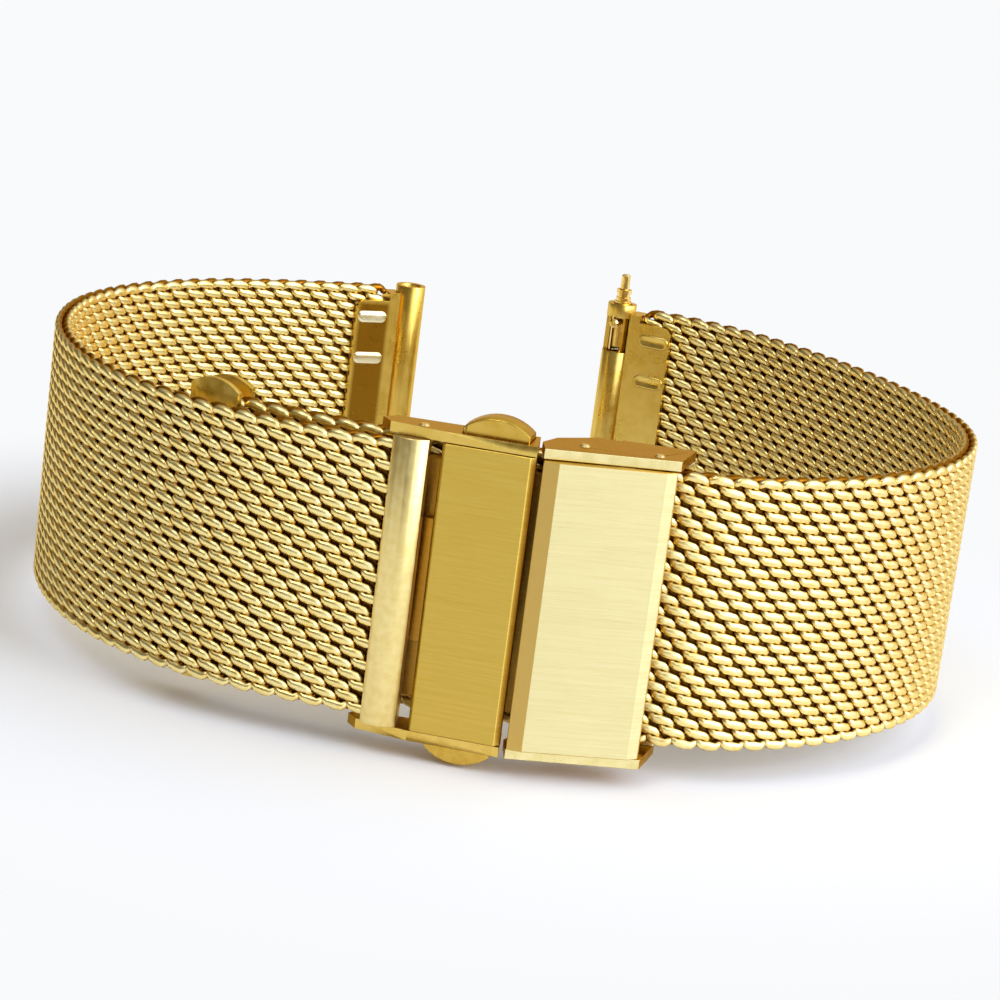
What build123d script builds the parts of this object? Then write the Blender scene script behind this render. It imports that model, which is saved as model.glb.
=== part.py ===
from build123d import *
import math
import os

# A mesh watch band closed by a folding clasp with two push buttons. It stands on
# its lower edge: X runs along the clasp, Y from the clasp to the lug ends, and Z
# across the mesh. Millimetres and degrees. The origin is at the middle of the
# band's box, on the surface that the band stands on.

# Mesh
band_width = 18.0
mesh_thickness = 1.1
weave_rib = 1.56
weave_groove = 0.35
left_panel_length = 77.8
left_panel_shares = ((0.0943, -10.0), (0.2322, -44.2), (0.2312, -33.6), (0.251, -50.6), (0.128, -11.7))
right_panel_length = 76.8
right_panel_shares = ((0.0714, 28.0), (0.1889, 32.5), (0.2391, 44.5), (0.0704, 9.9), (0.2577, 22.3),
                      (0.1106, 26.3))
under_bar_angle = 5.0
straight_run = 11.4
tail_length = 13.8
tail_shares = ((0.594, -11.0), (0.406, -12.0))
tail_angle = 9.0

# Where the left panel enters its end bar, and how the mesh leans there
bar_mouth_left = 7.2
bar_mouth_front = 27.02
bar_angle = 6.5

# Clearances
blade_gap = 0.12
fold_gap = 0.16
tail_gap = 0.3
side_gap = 0.05
pin_gap = 0.03
touch_gap = 0.05
overrun = 1.0

# End bar, which carries the left panel in the clasp frame
bar_length = 2.3
bar_bite = 0.8
bar_back_leaf = 0.15
bar_edge_height = 0.75
bar_crown = 0.5
bar_back_round = 0.5
bar_pin_inset = 0.55
bar_pin_radius = 0.36

# Clasp frame and its brushed plate
plate_side = 0.25
wall_side = 0.3
wall_thickness = 0.65
frame_angle = 9.8
frame_pivot_ahead = 7.92
frame_pivot_inside = 0.29
plate_length = 5.88
plate_overhang = 1.12
plates_gap = 0.196
plate_height = 1.61
plate_thickness = 0.6
plate_left_bevel = 0.25
plate_right_bevel = 0.35
web_thickness = 0.35
frame_wall_step = 0.16
frame_wall_back = 1.4
frame_wall_back_left = 0.85
frame_wall_reach = 8.9
frame_wall_nose = 0.7
frame_wall_front_left = 0.95
frame_wall_undercut = 0.37
frame_pin_radius = 0.3
frame_knuckle_radius = 0.58
lug_thickness = 1.15
lug_half_width = 0.6

# Push buttons with their catches and springs
button_length = 4.2
button_overhang = 0.5
button_side_height = 0.35
button_reach = 2.1
button_front = 0.95
button_back = 1.0
button_travel = 0.6
button_flange_extra = 0.2
button_flange_height = 0.4
button_root = 0.65
catch_arm_top = 0.5
catch_arm_thickness = 0.45
catch_centre = 2.4
catch_length = 1.6
catch_nose_thickness = 0.4
catch_foot_depth = 0.68
catch_foot_height = 0.3
catch_foot_length = 0.3
button_spring_radius = 0.33
button_spring_wall = 0.12
button_spring_length = 1.7
spring_tab_thickness = 0.4
spring_tab_depth = 0.3

# Folding blades
blade_thickness = 0.5
inner_blade_margin = 1.25
outer_blade_margin = 5.0
knuckle_gap = 0.15
fold_reach = 8.9
fold_knuckle_radius = 0.7
fold_pin_radius = 0.32
ear_thickness = 0.4
ear_lip = 0.4
ear_height = 0.8
ear_root = 0.3
lip_thickness = 0.25

# Slider box, its pins and the locking flap
slider_gap = 2.3
floor_gap = 0.1
floor_thickness = 0.45
box_foot_length = 9.35
box_corner_length = 3.6
box_corner_height = 3.5
box_corner_shares = ((0.0, 0.0), (0.21, 0.47), (0.78, 0.87), (1.0, 1.0))
box_top_left = 0.3
box_top_right = 8.6
box_height_left = 4.2
box_height_right = 2.45
pry_notch_length = 1.0
pry_notch_depth = 0.25
pry_notch_place = 3.7
flap_left = 0.336
flap_right = 8.457
flap_height_left = 4.81
flap_height_right = 2.957
flap_thickness = 1.1
flap_left_bevel_run = 1.0
flap_left_bevel_drop = 0.3
flap_right_bevel_run = 0.65
flap_right_bevel_drop = 0.35
flap_pin_ahead = 7.19
flap_pin_height = 1.89
flap_pin_radius = 0.35
flap_rib_radius = 0.8
flap_ridge_place = 5.85
flap_ridge_width = 0.5
flap_ridge_gap = 0.08
blade_pin_ahead = 2.59
blade_pin_height = 2.01
blade_pin_radius = 0.35
blade_knuckle_radius = 0.7
pin_dome = 0.12

# Tail cap
cap_length = 3.2
cap_thickness = 0.4
cap_side = 0.25
cap_bow = 0.65

# Lug ends and their quick-release spring bars
barrel_radius = 1.15
barrel_bore = 0.78
leaf_thickness = 0.4
leaf_end = 4.65
leaf_margin = 1.2
leaf_corner = 0.8
link_web_end = 1.95
link_web_start = 1.0
link_web_margin = 0.6
link_groove_width = 0.45
link_groove_depth = 0.35
crimp_length = 2.5
crimp_width = 1.05
crimp_depth = 0.18
crimp_margin = 2.5
crimp_pitch = 3.3
window_start = 1.05
window_face = 0.05
bar_tube_radius = 0.7
bar_tube_bore = 0.56
bar_tube_start = 0.2
bar_tube_end = 1.7
collar_length = 0.94
collar_radius = 0.6
collar_groove = 0.08
tip_radius = 0.36
tip_reach = 2.35
tip_travel = 2.0
neck_radius = 0.2
rod_radius = 0.52
rod_length = 3.7
knob_radius = 0.36
knob_reach = 1.65
fixed_tip_length = 1.2
fixed_plug_length = 0.75
bar_spring_wall = 0.14

half_mesh = mesh_thickness / 2
under_bar_length = frame_pivot_ahead + plate_overhang + plates_gap - slider_gap - flap_left
middle = band_width / 2
wall_inner = middle + wall_side
wall_outer = wall_inner + wall_thickness
plate_half = middle + plate_side


def ahead(place, length, turn=0.0):
    """The place further along a course, after a straight run or an arc."""
    x, y, heading = place
    start = math.radians(heading)
    if turn == 0:
        return (x + length * math.cos(start), y + length * math.sin(start), heading)
    radius = length / math.radians(turn)
    end = start + math.radians(turn)
    x += radius * (math.sin(end) - math.sin(start))
    y -= radius * (math.cos(end) - math.cos(start))
    return (x, y, heading + turn)


def beside(place, distance):
    """The point beside a place, to the left of its heading."""
    x, y, heading = place
    angle = math.radians(heading)
    return (x - distance * math.sin(angle), y + distance * math.cos(angle))


def local(place, forward, left):
    """The point forward and to the left of a place."""
    return beside(ahead(place, forward), left)


def along(place, arcs, distance):
    """The place at a distance along a course of arcs."""
    for length, turn in arcs:
        if distance <= length:
            return ahead(place, distance, turn * distance / length)
        place = ahead(place, length, turn)
        distance -= length
    return ahead(place, distance)


def turned(place, angle=180.0):
    return (place[0], place[1], place[2] + angle)


def at(place):
    return Location((place[0], place[1], 0), (0, 0, place[2]))


def stretch(arcs, low, high):
    """The arcs of a course between two distances along it."""
    between = []
    for length, turn in arcs:
        share = (min(high, length) - max(low, 0)) / length
        if share > 0:
            between.append((share * length, share * turn))
        low, high = low - length, high - length
    return between


def side_edges(place, arcs, distance):
    """Lines and arcs that follow a course at a distance to its left."""
    edges = []
    for length, turn in arcs:
        start = beside(place, distance)
        halfway = beside(ahead(place, length / 2, turn / 2), distance)
        place = ahead(place, length, turn)
        end = beside(place, distance)
        edges.append(Line(start, end) if turn == 0 else ThreePointArc(start, halfway, end))
    return edges


def ribbon(place, arcs, left, right):
    """The face between two lines that follow a course."""
    one = side_edges(place, arcs, left)
    other = side_edges(place, arcs, right)
    ends = [Line(one[0] @ 0, other[0] @ 0), Line(one[-1] @ 1, other[-1] @ 1)]
    return Face(Wire(one + other + ends))


def slab(face, low, high):
    return extrude(Pos(0, 0, low) * face, amount=high - low, dir=(0, 0, 1))


def outline(*points):
    return Face(Wire.make_polygon([Vector(x, y) for x, y in points], close=True))


def block(x_low, x_high, y_low, y_high, z_low, z_high):
    size = Box(x_high - x_low, y_high - y_low, z_high - z_low)
    return Pos((x_low + x_high) / 2, (y_low + y_high) / 2, (z_low + z_high) / 2) * size


def rod(point, radius, low, high):
    return Pos(point[0], point[1], (low + high) / 2) * Cylinder(radius, high - low)


def tube(point, radius, bore, low, high):
    return rod(point, radius, low, high) - rod(point, bore, low - overrun, high + overrun)


def pin(point, radius, low, high):
    """A pin with slightly domed ends."""
    shank = rod(point, radius, low, high)
    rims = shank.edges().filter_by(GeomType.CIRCLE)
    return chamfer(rims, pin_dome)


def both_ends(piece):
    """The piece and its mirror image about the middle of the band."""
    return piece + mirror(piece, Plane.XY.offset(middle))


def circle_through(a, b, c):
    """Centre and radius of the circle through three points."""
    bx, by = b[0] - a[0], b[1] - a[1]
    cx, cy = c[0] - a[0], c[1] - a[1]
    cross = 2 * (bx * cy - by * cx)
    b_square = bx * bx + by * by
    c_square = cx * cx + cy * cy
    x = (cy * b_square - by * c_square) / cross
    y = (bx * c_square - cx * b_square) / cross
    return (a[0] + x, a[1] + y), math.hypot(x, y)


def bowed(a, b, c, thickness):
    """The face of a strip whose middle line is the arc through three points."""
    centre, radius = circle_through(a, b, c)
    rims = []
    for side in (radius - thickness / 2, radius + thickness / 2):
        middle_line = [Vector(*point) - Vector(*centre) for point in (a, b, c)]
        rims.append(ThreePointArc(*[Vector(*centre) + arm * (side / radius) for arm in middle_line]))
    ends = [Line(rims[0] @ 0, rims[1] @ 0), Line(rims[0] @ 1, rims[1] @ 1)]
    return Face(Wire(rims + ends))


def arcs_of(length, shares):
    """The arcs of a panel, and the straight run that is left at its lug end."""
    arcs = [(share * length, turn) for share, turn in shares]
    rest = length - sum(piece[0] for piece in arcs)
    return arcs + [(rest, 0.0)]


# Courses, each a place and the arcs that follow it
bar_place = (-bar_mouth_left, -bar_mouth_front, -bar_angle)
left_start = turned(bar_place)
left_arcs = arcs_of(left_panel_length, left_panel_shares)
left_lug = along(left_start, left_arcs, left_panel_length)

stack = (half_mesh + bar_back_leaf + blade_gap + blade_thickness + fold_gap
         + blade_thickness + tail_gap + half_mesh)
under_bar = (*beside(bar_place, stack), -tail_angle)
tail_arcs = [(share * tail_length, turn) for share, turn in tail_shares]
tail_tip = turned(along(turned(under_bar), tail_arcs, tail_length))
tail_from_tip = [(length, -turn) for length, turn in reversed(tail_arcs)]
straight_start = ahead(under_bar, under_bar_length, under_bar_angle)
right_start = ahead(straight_start, straight_run)
right_arcs = arcs_of(right_panel_length, right_panel_shares)
right_lug = along(right_start, right_arcs, right_panel_length)

frame_pivot = local(bar_place, frame_pivot_ahead, frame_pivot_inside)
frame_place = (*frame_pivot, -frame_angle)
slider_place = ahead(straight_start, slider_gap)
blade_pivot = local(slider_place, blade_pin_ahead, -blade_pin_height)
flap_pivot = local(slider_place, flap_pin_ahead, -flap_pin_height)
bar_pivot = local(bar_place, bar_length - bar_pin_inset, 0)
fold_place = along(left_start, left_arcs, fold_reach)
fold_pivot = beside(fold_place, -(half_mesh + knuckle_gap + fold_knuckle_radius))

bar_back = half_mesh + bar_back_leaf
floor_back = half_mesh + floor_gap + floor_thickness
inner_half = middle - inner_blade_margin
outer_half = middle - outer_blade_margin
web_front = plate_height - plate_thickness
web_back = web_front - web_thickness
foot_tip = middle + inner_half - ear_thickness - ear_lip - touch_gap
catch_end = foot_tip - catch_foot_length - catch_nose_thickness
button_left = button_length - button_overhang
window_length = tip_travel + 2 * (knob_radius + touch_gap)
bar_tube_top = band_width - bar_tube_end


def weave_ribs(place, arcs, first, last, side):
    """One side of the mesh where it is bare, with a rib for every second row of links."""
    count = round((last - first) / weave_rib)
    stops = [first + (last - first) * n / count for n in range(count + 1)]
    grooves = [beside(along(place, arcs, stop), side * (half_mesh - weave_groove)) for stop in stops]
    ribs = []
    for n in range(count):
        crest = beside(along(place, arcs, (stops[n] + stops[n + 1]) / 2), side * half_mesh)
        ribs.append(ThreePointArc(grooves[n], crest, grooves[n + 1]))
    return ribs


def mesh_side(place, arcs, first, last, side):
    """One side of a panel, plain where an end fitting grips it."""
    length = sum(piece[0] for piece in arcs)
    near = side_edges(place, stretch(arcs, 0, first), side * half_mesh)
    ribs = weave_ribs(place, arcs, first, last, side)
    far = side_edges(along(place, arcs, last), stretch(arcs, last, length), side * half_mesh)
    return near + [Line(near[-1] @ 1, ribs[0] @ 0)] + ribs + [Line(ribs[-1] @ 1, far[0] @ 0)] + far


def mesh_panel(place, arcs, gripped):
    """A panel of ribbed mesh, plain where it is gripped and where its end link holds it."""
    *bends, (rest, turn) = arcs
    bare_end = sum(piece[0] for piece in arcs) - leaf_end
    arcs = bends + [(rest - link_web_end, turn)]
    one, other = [mesh_side(place, arcs, gripped, bare_end, side) for side in (1, -1)]
    ends = [Line(one[0] @ 0, other[0] @ 0), Line(one[-1] @ 1, other[-1] @ 1)]
    return slab(Face(Wire(one + other + ends)), 0, band_width)


def left_mesh():
    start = turned(ahead(bar_place, bar_bite))
    return mesh_panel(start, [(bar_bite, 0.0)] + left_arcs, bar_bite)


def right_mesh():
    arcs = tail_from_tip + [(under_bar_length, under_bar_angle), (straight_run, 0.0)] + right_arcs
    return mesh_panel(tail_tip, arcs, cap_length)


def tail_cap():
    """A folded strip over the end of the tail, with bowed upper and lower edges."""
    length, turn = tail_from_tip[0]
    bend = (cap_length, turn * cap_length / length)
    outside = half_mesh + cap_thickness
    face = ribbon(ahead(tail_tip, -cap_thickness), [(cap_thickness, 0.0), bend], outside, -outside)
    sheet = slab(face - ribbon(tail_tip, [bend], half_mesh, -half_mesh), -band_width, 2 * band_width)
    half = (cap_length + cap_thickness) / 2 + touch_gap
    low, high = -cap_side, band_width + cap_side
    edges = [ThreePointArc((-half, 0, low), (0, 0, low - cap_bow), (half, 0, low)),
             Line((half, 0, low), (half, 0, high)),
             ThreePointArc((half, 0, high), (0, 0, high + cap_bow), (-half, 0, high)),
             Line((-half, 0, high), (-half, 0, low))]
    shape = extrude(Face(Wire(edges)), amount=outside + overrun, dir=(0, 1, 0), both=True)
    return sheet & (at(ahead(tail_tip, (cap_length - cap_thickness) / 2)) * shape)


def end_bar():
    """The narrow bar that grips the left panel and turns on its pin in the frame."""
    back = Line((0, bar_back), (bar_length, bar_back))
    left = Line((0, bar_back), (0, -bar_edge_height))
    right = Line((bar_length, bar_back), (bar_length, -bar_edge_height))
    top = (bar_length / 2, -bar_edge_height - bar_crown)
    front = ThreePointArc((0, -bar_edge_height), top, (bar_length, -bar_edge_height))
    body = slab(Face(Wire([back, left, right, front])), middle - plate_half, middle + plate_half)
    body = fillet(body.edges().filter_by(Axis.Z).sort_by(lambda edge: edge.center().X + edge.center().Y)[-1],
                  bar_back_round)
    body -= block(-overrun, bar_bite, -half_mesh, half_mesh, -overrun, band_width + overrun)
    centre = (bar_length - bar_pin_inset, 0)
    body -= rod(centre, bar_pin_radius + pin_gap, -overrun, band_width + overrun)
    return at(bar_place) * body


def frame_walls():
    front = plate_height - frame_wall_step
    face = outline((plate_overhang, -front),
                   (plate_overhang - frame_wall_undercut, frame_wall_back),
                   (-frame_wall_reach + frame_wall_nose, frame_wall_back_left),
                   (-frame_wall_reach, (frame_wall_back_left - frame_wall_front_left) / 2),
                   (-frame_wall_reach + frame_wall_nose, -frame_wall_front_left),
                   (plate_overhang - plate_length, -front))
    return both_ends(slab(face, middle + wall_inner, middle + wall_outer))


def frame_web():
    """The sheet under the plate, cut away where the buttons move in."""
    right = plate_overhang - frame_wall_undercut
    sheet = block(plate_overhang - plate_length, right, -web_front, -web_back,
                  middle - wall_inner, middle + wall_inner)
    pocket = block(-button_left - touch_gap, button_overhang + touch_gap, -web_front - overrun, overrun,
                   middle + wall_inner - button_root - button_travel - side_gap, middle + wall_inner)
    return sheet - both_ends(pocket)


def frame_lug():
    """An ear under the web that holds one end of the frame pin."""
    low = middle + outer_half + side_gap
    high = low + lug_thickness
    ear = block(-lug_half_width, lug_half_width, -web_back, 0, low, high)
    return ear + rod((0, 0), lug_half_width, low, high)


def spring_tab():
    high = catch_end - button_spring_length
    return block(-catch_centre - lug_half_width, -catch_centre + lug_half_width, -web_back, spring_tab_depth,
                 high - spring_tab_thickness, high)


def clasp_frame():
    window = block(-button_left - touch_gap, button_overhang + touch_gap, -button_front - touch_gap,
                   button_back + touch_gap, middle + wall_inner, middle + wall_outer + overrun)
    body = frame_walls() - both_ends(window)
    body += frame_web() + both_ends(frame_lug() + spring_tab())
    body -= rod((0, 0), frame_pin_radius, -overrun, band_width + overrun)
    hole = rod(bar_pivot, bar_pin_radius, -band_width, 2 * band_width)
    return at(frame_place) * body - hole


def clasp_plate():
    left = plate_overhang - plate_length
    face = outline((left, -web_front),
                   (left, -plate_height + plate_left_bevel),
                   (left + plate_left_bevel, -plate_height),
                   (plate_overhang - plate_right_bevel, -plate_height),
                   (plate_overhang, -plate_height + plate_right_bevel),
                   (plate_overhang, -web_front))
    return at(frame_place) * slab(face, middle - plate_half, middle + plate_half)


def button_pad():
    """The half-moon pad, which slides in the window of the frame wall."""
    root = middle + wall_inner - button_root
    side = middle + wall_outer + button_side_height
    crown = ((button_overhang - button_left) / 2, -button_front, band_width + button_reach)
    edges = [Line((-button_left, -button_front, root), (-button_left, -button_front, side)),
             ThreePointArc((-button_left, -button_front, side), crown, (button_overhang, -button_front, side)),
             Line((button_overhang, -button_front, side), (button_overhang, -button_front, root)),
             Line((button_overhang, -button_front, root), (-button_left, -button_front, root))]
    return extrude(Face(Wire(edges)), amount=button_front + button_back, dir=(0, 1, 0))


def upper_button():
    """A button with the catch that it carries inside the frame."""
    root = middle + wall_inner - button_root
    left, right = -catch_centre - catch_length / 2, -catch_centre + catch_length / 2
    under_arm = -catch_arm_top + catch_arm_thickness
    body = button_pad()
    body += block(-button_left - button_flange_extra, button_overhang + button_flange_extra,
                  -catch_arm_top, button_flange_height, root, middle + wall_inner - touch_gap)
    body += block(left, right, -catch_arm_top, under_arm, catch_end, root)
    body += block(left, right, under_arm, catch_foot_depth, catch_end, catch_end + catch_nose_thickness)
    body += block(left, right, catch_foot_depth - catch_foot_height, catch_foot_depth,
                  catch_end + catch_nose_thickness, foot_tip)
    return at(frame_place) * body


def upper_button_spring():
    centre = (-catch_centre, -catch_arm_top + button_spring_radius)
    spring = tube(centre, button_spring_radius, button_spring_radius - button_spring_wall,
                  catch_end - button_spring_length, catch_end)
    return at(frame_place) * spring


def outer_blade():
    depth = half_mesh + blade_gap + blade_thickness / 2
    start = beside(fold_place, -depth)
    under = local(bar_place, bar_length, bar_back + blade_gap + blade_thickness / 2)
    end = local(frame_place, 0, frame_knuckle_radius - blade_thickness / 2)
    low, high = middle - outer_half, middle + outer_half
    blade = slab(bowed(start, under, end, blade_thickness), low, high)
    blade += rod(fold_pivot, fold_knuckle_radius, low, high)
    blade += rod(frame_pivot, frame_knuckle_radius, low, high)
    blade -= rod(fold_pivot, fold_pin_radius + pin_gap, -overrun, band_width + overrun)
    return blade - rod(frame_pivot, frame_pin_radius + pin_gap, -overrun, band_width + overrun)


def blade_ear():
    """A hooked ear on the inner blade, under which a catch foot holds."""
    left, right = -catch_centre - catch_length / 2, -catch_centre + catch_length / 2
    top = middle + inner_half
    ear = block(left, right, catch_foot_depth - catch_foot_height - touch_gap - lip_thickness,
                ear_height + ear_root, top - ear_thickness, top)
    lip_low = catch_foot_depth - catch_foot_height - touch_gap
    return ear + block(left, right, lip_low - lip_thickness, lip_low, top - ear_thickness - ear_lip, top)


def inner_blade():
    layers = blade_gap + blade_thickness + fold_gap + blade_thickness / 2
    start = beside(fold_place, -(half_mesh + layers))
    under = local(bar_place, bar_length, bar_back + layers)
    end = local(slider_place, blade_pin_ahead, -blade_pin_height + blade_knuckle_radius - blade_thickness / 2)
    low, high = middle - inner_half, middle + inner_half
    blade = slab(bowed(start, under, end, blade_thickness), low, high)
    blade += rod(blade_pivot, blade_knuckle_radius, low, high)
    blade += rod(fold_pivot, fold_knuckle_radius, low, high)
    blade -= rod(fold_pivot, fold_knuckle_radius + fold_gap, low + inner_half - outer_half - side_gap,
                 high - inner_half + outer_half + side_gap)
    blade -= rod(fold_pivot, fold_pin_radius, -overrun, band_width + overrun)
    blade -= rod(blade_pivot, blade_pin_radius + pin_gap, -overrun, band_width + overrun)
    return blade + both_ends(at(frame_place) * blade_ear())


def slider_box():
    corner = [(x * box_corner_length, floor_back - (1 - y) * box_corner_height) for x, y in box_corner_shares]
    face = outline((box_top_left, -box_height_left),
                   *corner,
                   (box_foot_length, floor_back),
                   (box_top_right, -box_height_right))
    body = both_ends(slab(face, middle + wall_inner, middle + wall_outer))
    body += block(box_corner_length, box_foot_length, half_mesh + floor_gap, floor_back,
                  middle - wall_inner, middle + wall_inner)
    body -= block(pry_notch_place, pry_notch_place + pry_notch_length, floor_back - pry_notch_depth,
                  floor_back + overrun, middle + wall_inner, middle + wall_outer + overrun)
    body = at(slider_place) * body
    body -= rod(blade_pivot, blade_pin_radius, -band_width, 2 * band_width)
    return body - rod(flap_pivot, flap_pin_radius, -band_width, 2 * band_width)


def flap_height(x):
    return flap_height_left + (flap_height_right - flap_height_left) * (x - flap_left) / (flap_right - flap_left)


def locking_flap():
    """The wide plate, which turns on its pin and presses a ridge on the mesh."""
    low, high = middle - plate_half, middle + plate_half
    left_bevel = flap_left + flap_left_bevel_run
    right_bevel = flap_right - flap_right_bevel_run
    face = outline((flap_left, flap_thickness - flap_height_left),
                   (flap_left, flap_left_bevel_drop - flap_height_left),
                   (left_bevel, -flap_height(left_bevel)),
                   (right_bevel, -flap_height(right_bevel)),
                   (flap_right, flap_right_bevel_drop - flap_height_right),
                   (flap_right, flap_thickness - flap_height_right))
    body = slab(face, low, high)
    body += rod((flap_pin_ahead, -flap_pin_height), flap_rib_radius, low, high)
    ridge_left = flap_ridge_place - flap_ridge_width / 2
    ridge_root = -flap_height(flap_ridge_place) + flap_thickness / 2
    body += block(ridge_left, ridge_left + flap_ridge_width, ridge_root, -half_mesh - flap_ridge_gap, low, high)
    body -= rod((flap_pin_ahead, -flap_pin_height), flap_pin_radius + pin_gap, -overrun, band_width + overrun)
    return at(slider_place) * body


def wall_pin(point, radius):
    """A pin through both side walls, with its domed ends just proud of them."""
    return pin(point, radius, middle - wall_outer - pin_dome, middle + wall_outer + pin_dome)


def crimp_mark(height):
    slot = extrude(SlotOverall(crimp_length, crimp_width), amount=crimp_depth, both=True)
    place = (-(leaf_end + link_web_end) / 2, -half_mesh - leaf_thickness, height)
    return Pos(*place) * Rot(X=90) * slot


def end_link():
    """The folded lug end: two leaves that grip the mesh, and a barrel for the spring bar."""
    out = half_mesh + leaf_thickness
    leaf = block(-leaf_end, -link_web_start, half_mesh, out, leaf_margin, band_width - leaf_margin)
    leaf = fillet(leaf.edges().filter_by(Axis.Y).sort_by(Axis.X)[:2], leaf_corner)
    body = leaf + mirror(leaf, Plane.XZ)
    body += block(-link_web_end, -link_web_start, -out, out, link_web_margin, band_width - link_web_margin)
    body += rod((0, 0), barrel_radius, 0, band_width)
    body -= rod((0, 0), barrel_bore, -overrun, band_width + overrun)
    body -= block(-link_web_start - link_groove_width, -link_web_start, -out - overrun,
                  -out + link_groove_depth, -overrun, band_width + overrun)
    body -= block(-link_web_start, barrel_radius + overrun, -barrel_radius - overrun, -window_face,
                  window_start, window_start + window_length)
    for height in (crimp_margin, crimp_margin + crimp_pitch):
        body -= both_ends(crimp_mark(height))
    return body


def bar_tube():
    """The tube of the spring bar, with its grooved collar and the slot for the knob."""
    body = tube((0, 0), bar_tube_radius, bar_tube_bore, -bar_tube_start, bar_tube_top)
    low = -bar_tube_start - collar_length
    body += tube((0, 0), collar_radius, tip_radius + pin_gap, low, -bar_tube_start)
    groove = tube((0, 0), collar_radius + overrun, collar_radius - collar_groove,
                  low + collar_length / 3, low + 2 * collar_length / 3)
    body -= groove & block(-barrel_radius, barrel_radius, -barrel_radius, barrel_radius,
                           low + collar_length / 3, low + 2 * collar_length / 3)
    half_slot = knob_radius + side_gap
    return body - block(-half_slot, half_slot, -bar_tube_radius - overrun, 0,
                        window_start, window_start + window_length)


def sliding_tip():
    """The tip that the knob draws in, with a thin neck where it stands in the collar."""
    mouth = -bar_tube_start - collar_length
    body = rod((0, 0), tip_radius, -tip_reach, mouth)
    body = chamfer(body.edges().filter_by(GeomType.CIRCLE).sort_by(Axis.Z)[0], pin_dome)
    body += rod((0, 0), neck_radius, mouth, -bar_tube_start + touch_gap)
    body += rod((0, 0), rod_radius, -bar_tube_start + touch_gap, -bar_tube_start + rod_length)
    knob = Rot(X=90) * Cylinder(knob_radius, knob_reach, align=(Align.CENTER, Align.CENTER, Align.MIN))
    knob = chamfer(knob.edges().filter_by(GeomType.CIRCLE).sort_by(Axis.Y)[0], pin_dome)
    return body + Pos(0, 0, window_start + knob_radius + touch_gap) * knob


def fixed_tip():
    body = rod((0, 0), tip_radius, bar_tube_top, bar_tube_top + fixed_tip_length)
    body = chamfer(body.edges().filter_by(GeomType.CIRCLE).sort_by(Axis.Z)[-1], pin_dome)
    return body + rod((0, 0), bar_tube_bore, bar_tube_top - fixed_plug_length, bar_tube_top)


def bar_spring():
    low = -bar_tube_start + rod_length
    return tube((0, 0), rod_radius, rod_radius - bar_spring_wall, low, bar_tube_top - fixed_plug_length)


def lower(piece):
    return mirror(piece, Plane.XY.offset(middle))


def all_pieces():
    nodes = {
        "left_mesh": left_mesh(),
        "right_mesh": right_mesh(),
        "tail_cap": tail_cap(),
        "end_bar": end_bar(),
        "end_bar_pin": wall_pin(bar_pivot, bar_pin_radius),
        "clasp_frame": clasp_frame(),
        "clasp_plate": clasp_plate(),
        "frame_pin": rod(frame_pivot, frame_pin_radius, middle - outer_half - side_gap - lug_thickness,
                         middle + outer_half + side_gap + lug_thickness),
        "upper_button": upper_button(),
        "lower_button": lower(upper_button()),
        "upper_button_spring": upper_button_spring(),
        "lower_button_spring": lower(upper_button_spring()),
        "outer_blade": outer_blade(),
        "inner_blade": inner_blade(),
        "fold_pin": rod(fold_pivot, fold_pin_radius, middle - inner_half, middle + inner_half),
        "slider_box": slider_box(),
        "locking_flap": locking_flap(),
        "flap_pin": wall_pin(flap_pivot, flap_pin_radius),
        "blade_pin": wall_pin(blade_pivot, blade_pin_radius),
    }
    sides = {"left": at(left_lug), "right": at(right_lug) * Pos(0, 0, band_width) * Rot(X=180)}
    makers = {"end_link": end_link, "bar_tube": bar_tube, "sliding_tip": sliding_tip,
              "fixed_tip": fixed_tip, "bar_spring": bar_spring}
    for side, place in sides.items():
        for name, make in makers.items():
            nodes[side + "_" + name] = place * make()
    return nodes


def main():
    os.makedirs("parts", exist_ok=True)
    nodes = all_pieces()
    box = Compound([piece for piece in nodes.values()]).bounding_box()
    shift = Pos(-(box.min.X + box.max.X) / 2, -(box.min.Y + box.max.Y) / 2, -box.min.Z)
    for name, piece in nodes.items():
        export_step(shift * piece, os.path.join("parts", name + ".step"))
    print("size", round(box.size.X, 3), round(box.size.Y, 3), round(box.size.Z, 3))
    places = {"slider run": slider_place, "flap pin": flap_pivot, "blade pin": blade_pivot,
              "fold pin": fold_pivot, "frame pin": frame_pivot, "bar pin": bar_pivot,
              "left lug": left_lug, "right lug": right_lug, "clasp frame": frame_place,
              "under bar": under_bar, "tail tip": tail_tip, "fold place": fold_place}
    for name, place in places.items():
        point = shift.position + Vector(place[0], place[1], 0)
        heading = "" if len(place) < 3 else "heading " + str(round(place[2], 3))
        print(name, round(point.X, 4), round(point.Y, 4), heading)
    print("mesh bottom", round(shift.position.Z, 4))


if __name__ == "__main__":
    main()
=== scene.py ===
import math
import bpy
from mathutils import Matrix, Vector


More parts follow.
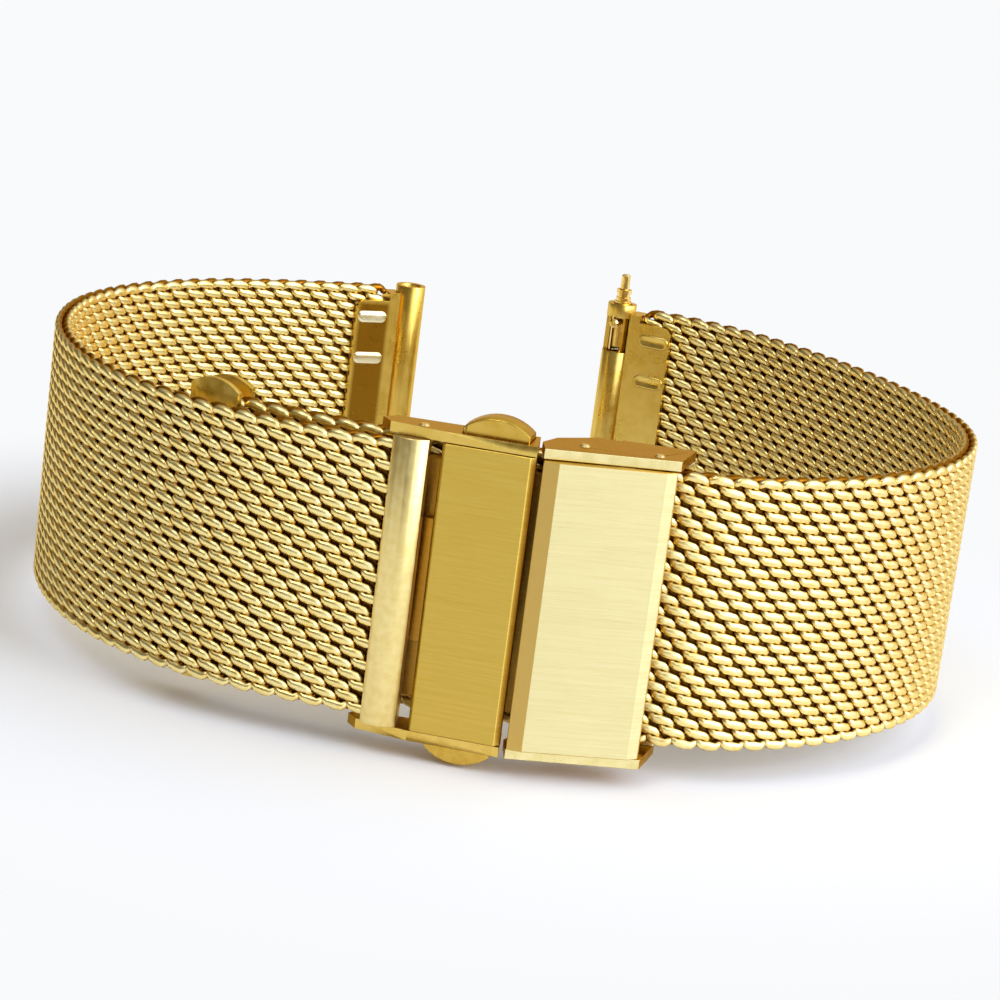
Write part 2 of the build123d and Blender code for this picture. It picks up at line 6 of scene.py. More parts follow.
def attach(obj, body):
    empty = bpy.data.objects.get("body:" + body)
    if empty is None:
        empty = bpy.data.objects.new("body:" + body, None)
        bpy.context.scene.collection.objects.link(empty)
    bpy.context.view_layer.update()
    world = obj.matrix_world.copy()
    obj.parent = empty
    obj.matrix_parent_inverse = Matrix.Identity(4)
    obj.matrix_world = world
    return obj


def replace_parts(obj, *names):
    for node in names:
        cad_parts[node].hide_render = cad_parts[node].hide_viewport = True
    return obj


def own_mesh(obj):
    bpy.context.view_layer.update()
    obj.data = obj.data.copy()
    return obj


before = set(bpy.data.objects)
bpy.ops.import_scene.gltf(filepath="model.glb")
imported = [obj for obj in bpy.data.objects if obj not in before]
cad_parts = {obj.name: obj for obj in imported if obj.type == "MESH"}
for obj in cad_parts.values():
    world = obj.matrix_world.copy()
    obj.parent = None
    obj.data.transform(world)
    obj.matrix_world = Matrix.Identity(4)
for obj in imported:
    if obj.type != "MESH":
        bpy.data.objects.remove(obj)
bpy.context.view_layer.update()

MM = 0.001

# Sizes repeated from part.py, in mm and degrees
SHIFT = (0.415135, -0.781988, 2.35)   # from part.py's own origin to the row frame
WIDTH = 18.0
THICK = 1.1
HALF = THICK / 2
BAR_PLACE = (-7.2, -27.02, -6.5)
BAR_MOUTH = 0.8
FRAME_PLACE = (0.702, -27.6284, -9.8)
LEFT_LENGTH = 77.8
LEFT_SHARES = (
    (0.0943, -10.0), (0.2322, -44.2), (0.2312, -33.6), (0.251, -50.6), (0.128, -11.7),
)
RIGHT_LENGTH = 76.8
RIGHT_SHARES = (
    (0.0714, 28.0), (0.1889, 32.5), (0.2391, 44.5), (0.0704, 9.9), (0.2577, 22.3), (0.1106, 26.3),
)
STACK = 2.83
TAIL_ANGLE = 9.0
TAIL_LENGTH = 13.8
TAIL_SHARES = ((0.594, -11.0), (0.406, -12.0))
UNDER_LENGTH = 6.6
UNDER_ANGLE = 5.0
STRAIGHT = 11.4
WEB_END = 1.95
BUTTON_AHEAD = -2.4
BUTTON_BESIDE = -0.17
BUTTON_SPRING = (13.5, 15.2)
BAR_SPRING = (3.5, 15.55)

# Mesh wire, in mm: the step between coils along the band, half the wire's thickness, half
# its width on a leg and in a turn, and how far a coil's middle line reaches
COIL_STEP = 0.78
COILS_IN_PIECE = 24
HALF_TURNS = 25
WIRE = 0.265
WIRE_WIDE = 0.355
TURN_WIDE = 0.22
TUCK = 0.3
COIL_HALF = 0.74
COIL_DEPTH = HALF - WIRE
COIL_END = COIL_HALF + WIRE
LEG = COIL_HALF - COIL_DEPTH
LEG_RISE = 2 * LEG * math.tan(math.radians(7.5))
HALF_STEP = (WIDTH - 2 * WIRE_WIDE - LEG_RISE) / (HALF_TURNS - 1)
TURN_RISE = HALF_STEP - LEG_RISE
CORE_HALF = 0.06

# The rounded end of a wire: a last ring that lies further out and is smaller, as shares
END_OUT = 0.45
END_SIZE = 0.6

# Springs, in mm: outside radius, half the wire's thickness, turns, travel
BUTTON_COIL = (0.33, 0.06, 6, 0.6)
BAR_COIL = (0.52, 0.07, 26, 2.0)

# Crimp marks, in mm: their size, the place along the lug, the leaf's face, the heights, and
# rings as a share of the width with their height over the face
CRIMP_LENGTH = 2.5
CRIMP_WIDTH = 1.05
CRIMP_PLACE = -3.3
CRIMP_HEIGHTS = (2.5, 5.8, WIDTH - 5.8, WIDTH - 2.5)
CRIMP_AROUND = 28
LEAF_FACE = 0.95
PILLOW = ((1.0, -0.16), (0.96, 0.0), (0.82, 0.1), (0.5, 0.15))
POCKET = ((1.0, -0.16), (0.96, 0.03), (0.7, 0.05), (0.3, -0.1))

# The painted dark reflection on the left leaf, in mm: where it starts and ends behind the lug, and
# where it fades in from each edge of the band
LEAF_DARK_START = (4.55, 4.25)
LEAF_DARK_END = (2.15, 1.85)
LEAF_DARK_EDGE = (1.25, 1.6)

# Directions that the pale fronts face; faces turned away from them get painted shade
FRONT = (0.0, -1.0, 0.0)
FLAP_FRONT = (0.3, -0.954, 0.0)

# The studio, in metres: light by direction as (direction, strength range, range of the
# direction's share, colour), and lamps as (name, place, size, watts, colour)
PAPER = (249, 250, 251)
FLOOR_SIZE = 6.0
FLOOR_GLOW = (0.036, 0.062)
LAMP_TARGET = (0, 0, 0.01)
GLOWS = (
    ((0.0, 0.0, 1.0), (0.2, 0.03), (0.1, 0.6), (1.0, 0.8, 0.5, 1.0)),
    ((0.0, 0.0, 1.0), (0.0, 0.52), (0.35, 0.95), (0.98, 0.98, 1.0, 1.0)),
    ((0.85, -0.45, 0.25), (0.0, 1.8), (0.35, 0.92), (0.86, 0.95, 1.12, 1.0)),
    ((0.4, 0.88, 0.25), (0.0, 0.55), (0.5, 0.95), (1.0, 0.94, 0.84, 1.0)),
)
LAMPS = (
    ("key", (0.5, -0.34, 0.3), (0.3, 0.3), 1.65, (0.94, 0.985, 1.1)),
    ("strip", (-0.2, -0.36, 0.6), (0.2, 0.4), 0.9, (1, 1, 1)),
    ("front", (0.44, -0.6, 0.12), (0.5, 0.2), 0.4, (1, 1, 1)),
)

# The camera: place in mm in part.py's frame, angles in degrees, and focal length as a share
# of the sensor's width
CAMERA_PLACE = (-0.324, -199.07, 57.86)
PITCH = math.radians(14.04)
ROLL = math.radians(7.37)
SENSOR = 36
FOCAL_SHARE = 2.888


# Courses in plan: a place is x, y and a heading

def ahead(place, length, turn=0.0):
    """The place further along a course, after a straight run or an arc."""
    x, y, heading = place
    start = math.radians(heading)
    if turn == 0:
        return (x + length * math.cos(start), y + length * math.sin(start), heading)
    radius = length / math.radians(turn)
    end = start + math.radians(turn)
    x += radius * (math.sin(end) - math.sin(start))
    y -= radius * (math.cos(end) - math.cos(start))
    return (x, y, heading + turn)


def beside(place, distance):
    """The point at a distance to the left of a place."""
    x, y, heading = place
    angle = math.radians(heading)
    return (x - distance * math.sin(angle), y + distance * math.cos(angle))


def along(place, arcs, distance):
    """The place at a distance along a course of arcs."""
    for length, turn in arcs:
        if distance <= length:
            return ahead(place, distance, turn * distance / length)
        place = ahead(place, length, turn)
        distance -= length
    return ahead(place, distance)


def turned(place):
    """The same place, looked at the other way."""
    return (place[0], place[1], place[2] + 180.0)


def arcs_of(length, shares):
    """Arcs given as shares of a length, and the straight run that is left."""
    arcs = [(share * length, turn) for share, turn in shares]
    return arcs + [(length - sum(arc[0] for arc in arcs), 0.0)]


def in_row(point):
    """A point of part.py's plan in the row frame, in mm."""
    return (point[0] + SHIFT[0], point[1] + SHIFT[1])


def row_point(plan, height):
    """A point of part.py's space in the row frame, in mm."""
    x, y = in_row(plan)
    return Vector((x, y, height + SHIFT[2]))


LEFT_START = turned(BAR_PLACE)
LEFT_ARCS = arcs_of(LEFT_LENGTH, LEFT_SHARES)
LEFT_LUG = along(LEFT_START, LEFT_ARCS, LEFT_LENGTH)
UNDER_BAR = (*beside(BAR_PLACE, STACK), -TAIL_ANGLE)
TAIL_ARCS = [(share * TAIL_LENGTH, turn) for share, turn in TAIL_SHARES]
TAIL_TIP = turned(along(turned(UNDER_BAR), TAIL_ARCS, TAIL_LENGTH))
RIGHT_ARCS = [(length, -turn) for length, turn in reversed(TAIL_ARCS)]
RIGHT_ARCS += [(UNDER_LENGTH, UNDER_ANGLE), (STRAIGHT, 0.0)]
RIGHT_ARCS += arcs_of(RIGHT_LENGTH, RIGHT_SHARES)
RIGHT_TOTAL = sum(arc[0] for arc in RIGHT_ARCS)
RIGHT_LUG = along(TAIL_TIP, RIGHT_ARCS, RIGHT_TOTAL)


# Shader nodes

def rgb(red, green, blue):
    """A colour written as in a picture, 0 to 255, as linear light."""
    def linear(value):
        value /= 255
        return value / 12.92 if value <= 0.04045 else ((value + 0.055) / 1.055) ** 2.4
    return (linear(red), linear(green), linear(blue), 1.0)


EDGE_TINT = (1.0, 0.78, 0.46, 1.0)


def material(name):
    """A material with its shader on its output."""
    m = bpy.data.materials.new(name)
    m.use_nodes = True
    t = m.node_tree
    t.nodes.clear()
    out = t.nodes.new("ShaderNodeOutputMaterial")
    bsdf = t.nodes.new("ShaderNodeBsdfPrincipled")
    t.links.new(bsdf.outputs[0], out.inputs[0])
    return m, t, bsdf


def metal(name):
    """A material of bare metal, warm at grazing angles."""
    m, t, bsdf = material(name)
    bsdf.inputs["Metallic"].default_value = 1.0
    bsdf.inputs["Specular Tint"].default_value = EDGE_TINT
    return m, t, bsdf


def noise(t, scale, detail, stretch=None, turn=0.0):
    """Noise in the part's space, or stretched along directions turned in plan."""
    tex = t.nodes.new("ShaderNodeTexNoise")
    tex.inputs["Scale"].default_value = scale
    tex.inputs["Detail"].default_value = detail
    coords = t.nodes.new("ShaderNodeTexCoord").outputs["Object"]
    if stretch:
        rotated = t.nodes.new("ShaderNodeMapping")
        rotated.inputs["Rotation"].default_value = (0, 0, math.radians(turn))
        scaled = t.nodes.new("ShaderNodeMapping")
        scaled.inputs["Scale"].default_value = stretch
        t.links.new(coords, rotated.inputs[0])
        t.links.new(rotated.outputs[0], scaled.inputs[0])
        coords = scaled.outputs[0]
    t.links.new(coords, tex.inputs["Vector"])
    return tex


def ramp(t, source, low, dark, high, light):
    """A colour that goes from dark at low to light at high."""
    r = t.nodes.new("ShaderNodeValToRGB")
    first, second = r.color_ramp.elements
    first.position = low
    first.color = dark
    second.position = high
    second.color = light
    t.links.new(source, r.inputs[0])
    return r


def spread(t, source, low, high, from_low=0.3, from_high=0.7):
    """A value that goes from low to high as its source goes over a range."""
    m = t.nodes.new("ShaderNodeMapRange")
    m.inputs["From Min"].default_value = from_low
    m.inputs["From Max"].default_value = from_high
    m.inputs["To Min"].default_value = low
    m.inputs["To Max"].default_value = high
    t.links.new(source, m.inputs["Value"])
    return m


def bump(t, bsdf, height, strength, distance):
    """Relief on a shader."""
    b = t.nodes.new("ShaderNodeBump")
    b.inputs["Strength"].default_value = strength
    b.inputs["Distance"].default_value = distance
    t.links.new(height, b.inputs["Height"])
    t.links.new(b.outputs[0], bsdf.inputs["Normal"])


def dot_with(t, coords, direction):
    """How far along a direction of the part a point or a normal lies."""
    co = t.nodes.new("ShaderNodeTexCoord")
    dot = t.nodes.new("ShaderNodeVectorMath")
    dot.operation = "DOT_PRODUCT"
    dot.inputs[1].default_value = direction
    t.links.new(co.outputs[coords], dot.inputs[0])
    return dot.outputs["Value"]


def times(t, first, second):
    """The product of two nodes' values."""
    product = t.nodes.new("ShaderNodeMath")
    product.operation = "MULTIPLY"
    t.links.new(first.outputs[0], product.inputs[0])
    t.links.new(second.outputs[0], product.inputs[1])
    return product


def colour_over(m, level, other):
    """Another colour of the same metal where the level is 0."""
    t = m.node_tree
    bsdf = t.nodes["Principled BSDF"]
    own = bsdf.inputs["Base Color"].links[0].from_socket
    mix = t.nodes.new("ShaderNodeMix")
    mix.data_type = "RGBA"
    mix.inputs[6].default_value = other
    t.links.new(level.outputs[0], mix.inputs[0])
    t.links.new(own, mix.inputs[7])
    t.links.new(mix.outputs[2], bsdf.inputs["Base Color"])


# Metals

def brushed(name, dark, light, turn):
    """Metal with fine streaks along the band, at the angle that the piece has in plan."""
    m, t, bsdf = metal(name)
    fine = noise(t, 1000.0, 4.0, (0.6, 0.6, 60.0), -turn)
    wide = noise(t, 1000.0, 2.0, (0.15, 0.15, 9.0), -turn)
    mix = t.nodes.new("ShaderNodeMix")
    mix.data_type = "FLOAT"
    mix.inputs[0].default_value = 0.4
    t.links.new(fine.outputs["Fac"], mix.inputs[2])
    t.links.new(wide.outputs["Fac"], mix.inputs[3])
    colour = ramp(t, mix.outputs[0], 0.36, dark, 0.64, light)
    t.links.new(colour.outputs[0], bsdf.inputs["Base Color"])
    rough = spread(t, mix.outputs[0], 0.26, 0.42)
    t.links.new(rough.outputs[0], bsdf.inputs["Roughness"])
    bump(t, bsdf, fine.outputs["Fac"], 0.35, 0.00002)
    bsdf.inputs["Anisotropic"].default_value = 0.8
    bsdf.inputs["Anisotropic Rotation"].default_value = 0.25
    tangent = t.nodes.new("ShaderNodeTangent")
    tangent.direction_type = "RADIAL"
    tangent.axis = "Z"
    t.links.new(tangent.outputs[0], bsdf.inputs["Tangent"])
    return m


def polished(name, dark, light, rough, scale, strength, detail=4.0):
    """Smooth metal with faint wear."""
    m, t, bsdf = metal(name)
    wear = noise(t, scale, detail).outputs["Fac"]
    colour = ramp(t, wear, 0.35, dark, 0.65, light)
    t.links.new(colour.outputs[0], bsdf.inputs["Base Color"])
    level = spread(t, wear, *rough)
    t.links.new(level.outputs[0], bsdf.inputs["Roughness"])
    bump(t, bsdf, wear, strength, 0.00003)
    return m


def painted_shade_on_sides(m, front, low, high, other):
    """A metal with painted shade on its sides, by the way each face turns, so that its front is paler
    than its sides.
    """
    level = spread(m.node_tree, dot_with(m.node_tree, "Normal", front), 0.0, 1.0, low, high)
    colour_over(m, level, other)


def leaf_painted_dark(m, lug, other):
    """A metal with a painted dark reflection on the leaf of a lug, inside its rim, which keeps the
    paler plain colour.
    """
    t = m.node_tree
    angle = math.radians(lug[2])
    way = (math.cos(angle), math.sin(angle), 0.0)
    x, y = in_row(lug)
    at = x * way[0] + y * way[1]
    run = dot_with(t, "Object", way)
    height = dot_with(t, "Object", (0, 0, 1))
    bottom, top = SHIFT[2], SHIFT[2] + WIDTH
    far, near, edge = LEAF_DARK_START, LEAF_DARK_END, LEAF_DARK_EDGE
    after = spread(t, run, 0.0, 1.0, (at - far[0]) * MM, (at - far[1]) * MM)
    before = spread(t, run, 1.0, 0.0, (at - near[0]) * MM, (at - near[1]) * MM)
    above = spread(t, height, 0.0, 1.0, (bottom + edge[0]) * MM, (bottom + edge[1]) * MM)
    below = spread(t, height, 1.0, 0.0, (top - edge[1]) * MM, (top - edge[0]) * MM)
    inside = times(t, times(t, after, before), times(t, above, below))
    outside = t.nodes.new("ShaderNodeMath")
    outside.operation = "SUBTRACT"
    outside.inputs[0].default_value = 1.0
    t.links.new(inside.outputs[0], outside.inputs[1])
    colour_over(m, outside, other)


def painted_shade_inside(m, other):
    """A wire with painted shade down in the weave: browner by its points' depth attribute."""
    depth = m.node_tree.nodes.new("ShaderNodeAttribute")
    depth.attribute_name = "depth"
    level = spread(m.node_tree, depth.outputs["Fac"], 0.0, 1.0, 0.38, 0.84)
    colour_over(m, level, other)


SATIN = ((0.24, 0.32), 1200.0, 0.03)
SOFT = ((0.26, 0.32), 900.0, 0.02)
M_WIRE = polished("wire_gold", rgb(252, 226, 142), rgb(255, 240, 172), (0.27, 0.37), 1500.0, 0.1, 3.0)
# Painted shade: the wire turns brown where it lies deep in the weave
painted_shade_inside(M_WIRE, rgb(150, 94, 16))
# Painted shade: the dark colour of the sheet inside the weave
M_SHADE_CORE = polished("painted_shade_core", rgb(104, 66, 14), rgb(132, 90, 26), (0.4, 0.6), 1500.0, 0.3)
M_PLATE = brushed("plate_gold", rgb(216, 182, 76), rgb(230, 198, 98), -9.8)
M_BUTTON = polished("button_gold", rgb(206, 168, 68), rgb(220, 184, 86), *SATIN)
# Painted light: the flap's base is paler than the plate's, for the flap catching more of the light
M_FLAP = brushed("flap_gold", rgb(226, 212, 150), rgb(236, 224, 170), 8.8)
# Painted shade on the flap's sides
painted_shade_on_sides(M_FLAP, FLAP_FRONT, 0.9, 0.96, rgb(216, 180, 96))
M_BAR = polished("bar_gold", rgb(238, 214, 138), rgb(246, 226, 156), (0.3, 0.36), 2000.0, 0.03)
M_FRAME = polished("frame_gold", rgb(220, 186, 88), rgb(232, 200, 106), *SATIN)
# Painted shade on the frame's sides
painted_shade_on_sides(M_FRAME, FRONT, 0.6, 0.9, rgb(206, 162, 66))
M_BOX = polished("box_gold", rgb(236, 220, 152), rgb(246, 232, 172), *SATIN)
# Painted shade on the box's sides
painted_shade_on_sides(M_BOX, FRONT, 0.6, 0.9, rgb(196, 148, 50))
M_LINK = polished("link_gold", rgb(226, 192, 92), rgb(236, 206, 112), *SOFT)
M_LINK_SHADED = polished("link_gold_painted_dark", rgb(222, 184, 80), rgb(232, 198, 98), *SOFT)
# Painted dark reflection on the left leaf
leaf_painted_dark(M_LINK_SHADED, LEFT_LUG, rgb(158, 112, 28))
M_MARK = polished("mark_gold", rgb(254, 240, 190), rgb(255, 248, 214), (0.2, 0.3), 900.0, 0.02)
# Painted shade: the blades' gold is darkened, for blades that lie in shade under the clasp
M_BLADE = brushed("blade_gold", rgb(178, 134, 52), rgb(198, 156, 72), -4.0)
M_CAP = polished("cap_gold", rgb(224, 184, 72), rgb(246, 214, 116), (0.2, 0.45), 700.0, 0.5)
M_PIN = polished("pin_gold", rgb(240, 212, 136), rgb(252, 230, 166), (0.14, 0.22), 1200.0, 0.03)
M_STEEL = polished("plain_steel", rgb(190, 186, 176), rgb(214, 210, 200), (0.2, 0.35), 900.0, 0.15)


# Pieces in mesh code

def piece(name, points, faces, mat, body, slot, smooth=True, depths=None):
    """An object from points in mm, which rides on a body."""
    mesh = bpy.data.meshes.new(name)
    mesh.from_pydata([tuple(c * MM for c in p) for p in points], [], faces)
    if depths:
        mesh.attributes.new("depth", "FLOAT", "POINT").data.foreach_set("value", depths)
    mesh.update()
    if smooth:
        mesh.polygons.foreach_set("use_smooth", [True] * len(mesh.polygons))
    mesh.materials.append(mat)
    ob = bpy.data.objects.new(name, mesh)
    bpy.context.scene.collection.objects.link(ob)
    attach(ob, body)
    return ob


def bands(rings, around):
    """Faces between rings of points that follow each other."""
    faces = []
    for low in range(0, (rings - 1) * around, around):
        high = low + around
        for k in range(around):
            m = (k + 1) % around
            faces.append((low + k, low + m, high + m, high + k))
    return faces


def capped_bands(rings, around):
    """The faces of a closed tube."""
    start = tuple(reversed(range(around)))
    end = tuple(range((rings - 1) * around, rings * around))
    return bands(rings, around) + [start, end]


def directions(path, carried):
    """Tangent, normal and side at each point of a path. The normal is carried along it, or
    stays level."""
    found = []
    last = len(path) - 1
    normal = None
    for i in range(len(path)):
        tangent = (path[min(i + 1, last)] - path[max(i - 1, 0)]).normalized()
        if normal is None or not carried:
            normal = tangent.cross(Vector((0, 0, 1)))
        normal = (normal - tangent * normal.dot(tangent)).normalized()
        found.append((tangent, normal, tangent.cross(normal)))
    return found


def tube(path, radius, sides, widths=None):
    """Points and faces of a wire along a path, with rounded ends. A pressed wire has its own
    half width at each point."""
    ways = directions(path, carried=widths is None)
    widths = widths or [radius] * len(path)
    rings = [(p, n, s, radius, w) for p, (_, n, s), w in zip(path, ways, widths)]
    for end, sign in ((0, -1), (-1, 1)):
        t, n, s = ways[end]
        out = path[end] + t * (sign * radius * END_OUT)
        ring = (out, n, s, END_SIZE * radius, END_SIZE * widths[end])
        rings.insert(0 if sign < 0 else len(rings), ring)
    points = []
    for p, n, s, thick, wide in rings:
        for k in range(sides):
            a = 2 * math.pi * k / sides
            points.append(p + n * (thick * math.cos(a)) + s * (wide * math.sin(a)))
    return points, capped_bands(len(rings), sides)


# Woven mesh

def rise_in_turn(half, share):
    """How far a point of a turn lies above the turn's middle. Both ends of the wire are
    tucked into the weave."""
    if half == 0:
        return TURN_RISE / 2 + TUCK * (1 - share)
    if half == HALF_TURNS:
        return -TURN_RISE / 2 - TUCK * (1 + share)
    return TURN_RISE * share / 2


def coil(corner, sides, first):
    """Points and faces of one flattened left-hand coil, whose axis runs across the band. x
    runs along the band, y from its middle towards the outside, z across it. The wire climbs
    most where it turns, and starts in its turn at the right or the left."""
    path, widths = [], []
    for half in range(HALF_TURNS + 1):
        side = first * (-1) ** half
        middle = WIRE_WIDE - TURN_RISE / 2 + half * HALF_STEP
        start = 0 if half == 0 else -corner
        end = 0 if half == HALF_TURNS else corner
        for k in range(start, end + 1):
            share = k / corner
            x = LEG + COIL_DEPTH * math.cos(math.pi / 2 * share)
            y = COIL_DEPTH * math.sin(math.pi / 2 * share)
            path.append(Vector((side * x, side * y, middle + rise_in_turn(half, share))))
            widths.append(TURN_WIDE + (WIRE_WIDE - TURN_WIDE) / 2 * abs(share))
        if half < HALF_TURNS:
            path.append(Vector((0.0, side * COIL_DEPTH, middle + HALF_STEP / 2)))
            widths.append(WIRE_WIDE)
    return tube(path, WIRE, sides, widths)


def put(points, place, flip):
    """Coil points at a place of a course; flip where the outside is on its left."""
    x0, y0, heading = place
    c, s = math.cos(math.radians(heading)), math.sin(math.radians(heading))
    out = []
    for p in points:
        x, y = (-p.x, p.y) if flip else (p.x, -p.y)
        out.append(row_point((x0 + x * c - y * s, y0 + x * s + y * c), p.z))
    return out


def steps(start, arcs, first, last):
    """The places of the coils along a course, from the first to the last."""
    count = round((last - first) / COIL_STEP)
    return [along(start, arcs, first + (last - first) * i / count) for i in range(count + 1)]


def weave(name, places, flip, body, node):
    """The coils of a mesh panel, in a few pieces."""
    corner, sides = ((3, 8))
    kinds = [coil(corner, sides, 1), coil(corner, sides, -1)]
    for number, begin in enumerate(range(0, len(places), COILS_IN_PIECE)):
        points, faces, depths = [], [], []
        for i in range(begin, min(begin + COILS_IN_PIECE, len(places))):
            shape, shape_faces = kinds[i % 2]
            faces += [tuple(len(points) + k for k in face) for face in shape_faces]
            points += put(shape, places[i], flip)
            depths += [abs(point.y) / HALF for point in shape]
        ob = piece(f"{name}_{number + 1}", points, faces, M_WIRE, body, "mesh_gold", depths=depths)
        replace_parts(ob, node)


def core(name, places, body, node):
    """The inside of the weave, a dark sheet that keeps light from passing straight through; its dark
    colour is painted shade.
    """
    low, high = 2 * WIRE_WIDE, WIDTH - 2 * WIRE_WIDE
    points = []
    for place in places:
        for side, height in ((1, low), (1, high), (-1, high), (-1, low)):
            points.append(row_point(beside(place, side * CORE_HALF), height))
    faces = capped_bands(len(places), 4)
    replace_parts(piece(name, points, faces, M_SHADE_CORE, body, "mesh_gold", smooth=False), node)


LEFT_STEPS = steps(LEFT_START, LEFT_ARCS, COIL_END - BAR_MOUTH, LEFT_LENGTH - WEB_END - COIL_END)
RIGHT_STEPS = steps(TAIL_TIP, RIGHT_ARCS, COIL_END, RIGHT_TOTAL - WEB_END - COIL_END)
core("left_core", LEFT_STEPS, "left_panel", "left_mesh")
core("right_core", RIGHT_STEPS, "right_panel", "right_mesh")
weave("left_weave", LEFT_STEPS, True, "left_panel", "left_mesh")
weave("right_weave", RIGHT_STEPS, False, "right_panel", "right_mesh")


# Springs

def spring(name, centre, low, high, sizes, body, node):
    """A wound spring in place of its CAD sleeve."""
    outside, wire, turns, travel = sizes
    per_turn = 14
    count = turns * per_turn
    path = []
    for i in range(count + 1):
        around = 2 * math.pi * i / per_turn
        x = centre[0] + (outside - wire) * math.cos(around)
        y = centre[1] + (outside - wire) * math.sin(around)
        path.append(row_point((x, y), low + wire + (high - low - 2 * wire) * i / count))
    ob = piece(name, *tube(path, wire, 6), M_STEEL, body, "spring_steel")
    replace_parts(ob, node)
    x, y = in_row(centre)
    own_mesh(ob)


def button_springs():
    """The springs behind the two buttons, which lean on the middle of the frame."""
    centre = beside(ahead(FRAME_PLACE, BUTTON_AHEAD), BUTTON_BESIDE)
    low, high = BUTTON_SPRING
    spring("upper_button_coil", centre, low, high, BUTTON_COIL,
           "clasp_frame", "upper_button_spring")
    low, high = WIDTH - high, WIDTH - low
    spring("lower_button_coil", centre, low, high, BUTTON_COIL,
           "clasp_frame", "lower_button_spring")


def bar_springs():
    """The springs in the two spring bars, which lean on the fixed tips."""
    low, high = BAR_SPRING
    spring("left_bar_coil", LEFT_LUG, low, high, BAR_COIL,
           "left_bar", "left_bar_spring")
    low, high = WIDTH - high, WIDTH - low
    spring("right_bar_coil", RIGHT_LUG, low, high, BAR_COIL,
           "right_bar", "right_bar_spring")


button_springs()
bar_springs()


# Crimp marks

def crimp(name, lug, side, height, body, rings, mat):
    """The pressed mark that holds a leaf to the mesh: a pillow, or a pocket with a rim."""
    half_run = (CRIMP_LENGTH - CRIMP_WIDTH) / 2
    points = []
    for scale, out in rings:
        radius = scale * CRIMP_WIDTH / 2
        for k in range(CRIMP_AROUND):
            a = 2 * math.pi * k / CRIMP_AROUND
            x = math.copysign(half_run, math.cos(a)) + radius * math.cos(a)
            plan = beside(ahead(lug, CRIMP_PLACE + x), side * (LEAF_FACE + out))
            points.append(row_point(plan, height + radius * math.sin(a)))
    top = (len(rings) - 1) * CRIMP_AROUND
    faces = bands(len(rings), CRIMP_AROUND) + [tuple(range(top, top + CRIMP_AROUND))]
    piece(name, points, faces, mat, body, "polished_gold")


for number, height in enumerate(CRIMP_HEIGHTS):
    crimp(f"left_crimp_{number + 1}", LEFT_LUG, -1, height, "left_panel", PILLOW, M_MARK)
    crimp(f"right_crimp_{number + 1}", RIGHT_LUG, 1, height, "right_panel", POCKET, M_LINK)


# CAD nodes: their metal and the width of their rounded edges in mm

LOOKS = {
    "clasp_plate": (M_PLATE, 0.07), "locking_flap": (M_FLAP, 0.09), "end_bar": (M_BAR, 0.06),
    "clasp_frame": (M_FRAME, 0.08), "slider_box": (M_BOX, 0.08), "upper_button": (M_BUTTON, 0.08),
    "lower_button": (M_BUTTON, 0.08), "tail_cap": (M_CAP, 0.1), "left_end_link": (M_LINK_SHADED, 0.1),
    "right_end_link": (M_LINK, 0.1), "inner_blade": (M_BLADE, 0.05), "outer_blade": (M_BLADE, 0.05),
}
WELD_DISTANCE = 0.000002
SHARP = math.radians(28)


def round_edges(ob, width):
    """Sharp edges of a CAD node rounded in the picture, its flat faces kept flat."""
    weld = ob.modifiers.new("weld", "WELD")
    weld.merge_threshold = WELD_DISTANCE
    bevel = ob.modifiers.new("bevel", "BEVEL")
    bevel.width = width * MM
    bevel.segments = 2
    bevel.limit_method = "ANGLE"
    bevel.angle_limit = SHARP
    bevel.harden_normals = True


for name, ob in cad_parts.items():
    plain = M_STEEL if "spring" in name or name.endswith("fixed_tip") else M_PIN
    mat, width = LOOKS.get(name, (plain, 0.0))
    ob.data.materials.clear()
    ob.data.materials.append(mat)
    if width:
        round_edges(ob, width)


# Stage and light

def paper():
    """Pale paper, which is lit near the object and plain white further off."""
    m, t, bsdf = material("floor_paper")
    bsdf.inputs["Base Color"].default_value = rgb(246, 246, 247)
    bsdf.inputs["Roughness"].default_value = 0.9
    bsdf.inputs["Specular IOR Level"].default_value = 0.1
    glow = t.nodes.new("ShaderNodeEmission")
    glow.inputs["Color"].default_value = rgb(*PAPER)
    glow.inputs["Strength"].default_value = 1.0
    where = t.nodes.new("ShaderNodeTexCoord")
    far = t.nodes.new("ShaderNodeVectorMath")
    far.operation = "LENGTH"
    t.links.new(where.outputs["Object"], far.inputs[0])
    reach = spread(t, far.outputs["Value"], 0.0, 1.0, *FLOOR_GLOW)
    reach.interpolation_type = "SMOOTHSTEP"
    seen = t.nodes.new("ShaderNodeLightPath")
    either = t.nodes.new("ShaderNodeMath")
    either.operation = "MAXIMUM"
    t.links.new(seen.outputs["Is Camera Ray"], either.inputs[0])
    t.links.new(seen.outputs["Is Glossy Ray"], either.inputs[1])
    blend = t.nodes.new("ShaderNodeMixShader")
    t.links.new(times(t, reach, either).outputs[0], blend.inputs[0])
    t.links.new(bsdf.outputs[0], blend.inputs[1])
    t.links.new(glow.outputs[0], blend.inputs[2])
    t.links.new(blend.outputs[0], t.nodes["Material Output"].inputs[0])
    return m


def floor():
    """The floor that the object stands on."""
    s = FLOOR_SIZE
    mesh = bpy.data.meshes.new("floor")
    mesh.from_pydata([(-s, -s, 0), (s, -s, 0), (s, s, 0), (-s, s, 0)], [], [(0, 1, 2, 3)])
    mesh.materials.append(paper())
    ob = bpy.data.objects.new("floor", mesh)
    bpy.context.scene.collection.objects.link(ob)


def glow_from(t, direction, strengths, shares, colour):
    """Light that rises smoothly towards a direction of the room."""
    level = spread(t, dot_with(t, "Generated", direction), *strengths, *shares)
    level.interpolation_type = "SMOOTHSTEP"
    light = t.nodes.new("ShaderNodeBackground")
    light.inputs["Color"].default_value = colour
    t.links.new(level.outputs[0], light.inputs["Strength"])
    return light


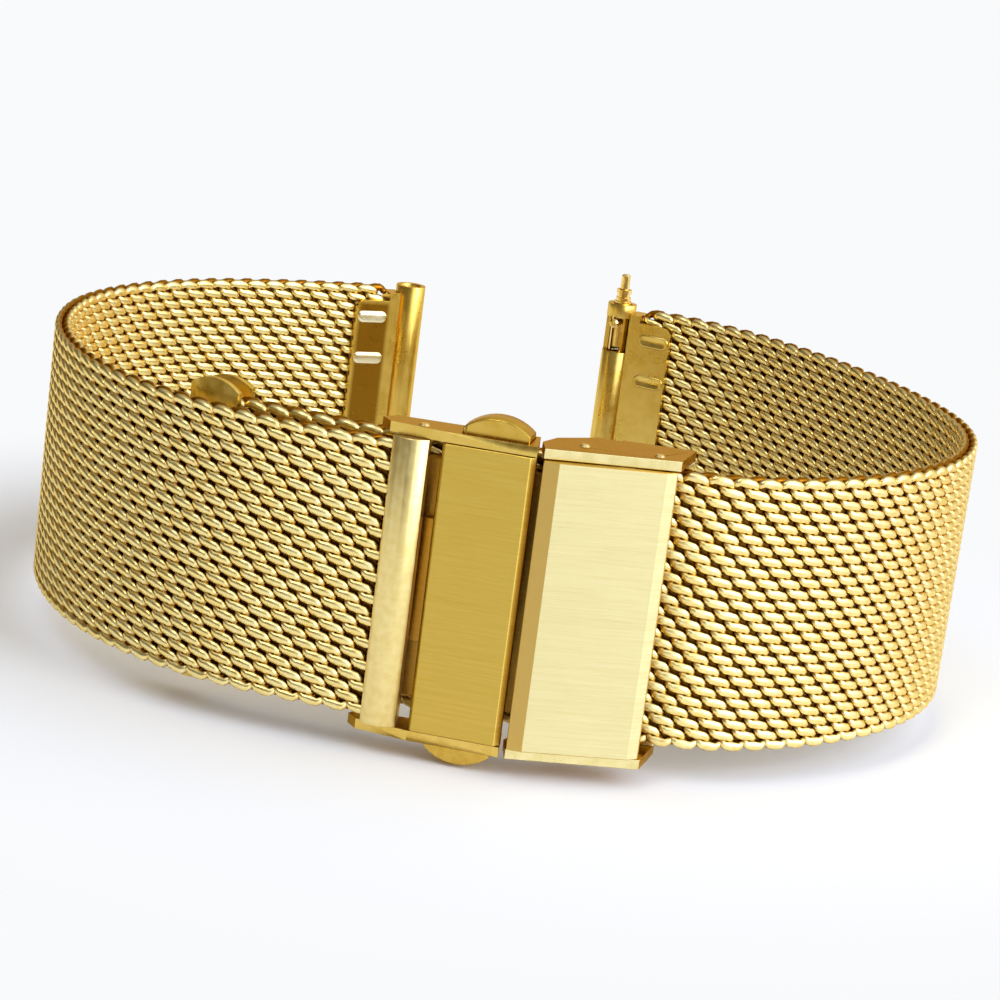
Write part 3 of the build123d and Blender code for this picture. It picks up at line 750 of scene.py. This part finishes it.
def studio():
    """The room's light, and the white that the camera sees instead."""
    world = bpy.data.worlds.new("studio")
    bpy.context.scene.world = world
    world.use_nodes = True
    t = world.node_tree
    t.nodes.clear()
    room, *others = [glow_from(t, *glow) for glow in GLOWS]
    for light in others:
        both = t.nodes.new("ShaderNodeAddShader")
        t.links.new(room.outputs[0], both.inputs[0])
        t.links.new(light.outputs[0], both.inputs[1])
        room = both
    seen = t.nodes.new("ShaderNodeBackground")
    seen.inputs["Color"].default_value = rgb(*PAPER)
    seen.inputs["Strength"].default_value = 1.0
    light_path = t.nodes.new("ShaderNodeLightPath")
    mix = t.nodes.new("ShaderNodeMixShader")
    t.links.new(light_path.outputs["Is Camera Ray"], mix.inputs[0])
    t.links.new(room.outputs[0], mix.inputs[1])
    t.links.new(seen.outputs[0], mix.inputs[2])
    out = t.nodes.new("ShaderNodeOutputWorld")
    t.links.new(mix.outputs[0], out.inputs[0])


def lamp(name, place, size, watts, colour):
    """A soft lamp that points at the object."""
    data = bpy.data.lights.new(name, "AREA")
    data.energy = watts
    data.color = colour
    data.shape = "RECTANGLE"
    data.size, data.size_y = size
    ob = bpy.data.objects.new(name, data)
    bpy.context.scene.collection.objects.link(ob)
    ob.location = place
    ob.rotation_euler = (Vector(LAMP_TARGET) - Vector(place)).to_track_quat("-Z", "Y").to_euler()


def photo_camera():
    """The camera at the photograph's place, looking down and rolled."""
    forward = Vector((0, math.cos(PITCH), -math.sin(PITCH)))
    level = Vector((1, 0, 0))
    over = level.cross(forward)
    right = level * math.cos(ROLL) + over * math.sin(ROLL)
    up = over * math.cos(ROLL) - level * math.sin(ROLL)
    data = bpy.data.cameras.new("camera")
    data.sensor_width = SENSOR
    data.lens = SENSOR * FOCAL_SHARE
    data.clip_start = 0.01
    camera = bpy.data.objects.new("camera", data)
    bpy.context.scene.collection.objects.link(camera)
    axes = Matrix((right, up, -forward)).transposed().to_4x4()
    place = row_point(CAMERA_PLACE, CAMERA_PLACE[2]) * MM
    camera.matrix_world = Matrix.Translation(place) @ axes
    bpy.context.scene.camera = camera


floor()
studio()
for settings in LAMPS:
    lamp(*settings)
photo_camera()
bpy.context.scene.view_settings.view_transform = "Standard"
